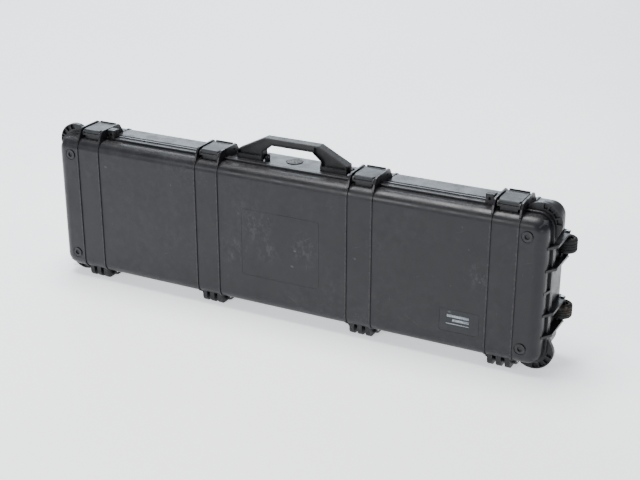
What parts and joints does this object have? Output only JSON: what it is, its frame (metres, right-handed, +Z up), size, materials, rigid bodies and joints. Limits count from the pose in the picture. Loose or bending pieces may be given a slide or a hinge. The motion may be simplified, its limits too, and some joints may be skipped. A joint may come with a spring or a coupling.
{
  "type": "rod case",
  "caption": "Long hard-shell case on its hinge edge, with over-centre latches, a folding carry handle, an end handle, wheels and foam with rod channels.",
  "frame": {"origin": "on the ground under the middle of the bounding box, with the case standing on its hinge edge", "axes": "+X along the case towards the wheeled end, -Y out of the lid's face, +Z up towards the latches and the carry handle"},
  "size_m": [1.356, 0.1574, 0.4395],
  "materials": {
    "shell": "satin",
    "latch": "satin",
    "lever": "satin",
    "handle": "satin",
    "seal": "matte",
    "valve": "satin",
    "tyre": "matte",
    "hub": "satin",
    "steel": "satin",
    "foam": "matte",
    "label": "satin"
  },
  "bodies": {
    "base": {"base_shell": "shell", "seal_ring": "seal", "hinge_pins": "steel", "latch_pivot_pins": "steel", "carry_handle_pins": "steel", "end_handle_pins": "steel", "wheel_axles": "steel", "axle_clips": "steel", "base_foam_pad": "foam", "base_foam_insert": "foam", "valve_body": "valve", "valve_cap": "valve", "valve_membrane": "seal", "valve_seal": "seal", "valve_nut": "valve"},
    "lid": {"lid_shell": "shell", "padlock_plates": "steel", "lid_foam": "foam", "label_plate": "label"},
    "handle": {"carry_handle": "handle"},
    "side_handle": {"end_handle": "handle"},
    "upper_wheel": {"wheel_tyre_upper": "tyre", "wheel_hub_upper": "hub"},
    "lower_wheel": {"wheel_tyre_lower": "tyre", "wheel_hub_lower": "hub"},
    "latch_1": {"latch_body_1": "latch", "latch_lever_pin_1": "steel"},
    "lever_1": {"latch_lever_1": "lever"},
    "latch_2": {"latch_body_2": "latch", "latch_lever_pin_2": "steel"},
    "lever_2": {"latch_lever_2": "lever"},
    "latch_3": {"latch_body_3": "latch", "latch_lever_pin_3": "steel"},
    "lever_3": {"latch_lever_3": "lever"},
    "latch_4": {"latch_body_4": "latch", "latch_lever_pin_4": "steel"},
    "lever_4": {"latch_lever_4": "lever"}
  },
  "joints": [
    {"name": "lid_hinge", "type": "hinge", "parent": "base", "child": "lid", "pos_m": [0, -0.0308, 0.011], "axis": [1, 0, 0], "range_deg": [0, 90]},
    {"name": "latch_1_swing", "type": "hinge", "parent": "base", "child": "latch_1", "pos_m": [0, 0.008, 0.39], "axis": [1, 0, 0], "range_deg": [-95, 0]},
    {"name": "lever_1_lift", "type": "hinge", "parent": "latch_1", "child": "lever_1", "pos_m": [0, -0.05, 0.3923], "axis": [1, 0, 0], "range_deg": [0, 75]},
    {"name": "latch_2_swing", "type": "hinge", "parent": "base", "child": "latch_2", "pos_m": [0, 0.008, 0.39], "axis": [1, 0, 0], "range_deg": [-95, 0]},
    {"name": "lever_2_lift", "type": "hinge", "parent": "latch_2", "child": "lever_2", "pos_m": [0, -0.05, 0.3923], "axis": [1, 0, 0], "range_deg": [0, 75]},
    {"name": "latch_3_swing", "type": "hinge", "parent": "base", "child": "latch_3", "pos_m": [0, 0.008, 0.39], "axis": [1, 0, 0], "range_deg": [-95, 0]},
    {"name": "lever_3_lift", "type": "hinge", "parent": "latch_3", "child": "lever_3", "pos_m": [0, -0.05, 0.3923], "axis": [1, 0, 0], "range_deg": [0, 75]},
    {"name": "latch_4_swing", "type": "hinge", "parent": "base", "child": "latch_4", "pos_m": [0, 0.008, 0.39], "axis": [1, 0, 0], "range_deg": [-95, 0]},
    {"name": "lever_4_lift", "type": "hinge", "parent": "latch_4", "child": "lever_4", "pos_m": [0, -0.05, 0.3923], "axis": [1, 0, 0], "range_deg": [0, 75]},
    {"name": "handle_fold", "type": "hinge", "parent": "base", "child": "handle", "pos_m": [0, 0, 0.386], "axis": [1, 0, 0], "range_deg": [-90, 0]},
    {"name": "side_handle_fold", "type": "hinge", "parent": "base", "child": "side_handle", "pos_m": [-0.659, 0.012, 0.2], "axis": [0, 0, 1], "range_deg": [0, 90]},
    {"name": "upper_wheel_spin", "type": "hinge", "parent": "base", "child": "upper_wheel", "pos_m": [0.654, 0.054, 0.28], "axis": [0, 0, 1], "continuous": true},
    {"name": "lower_wheel_spin", "type": "hinge", "parent": "base", "child": "lower_wheel", "pos_m": [0.654, 0.054, 0.12], "axis": [0, 0, 1], "continuous": true}
  ]
}
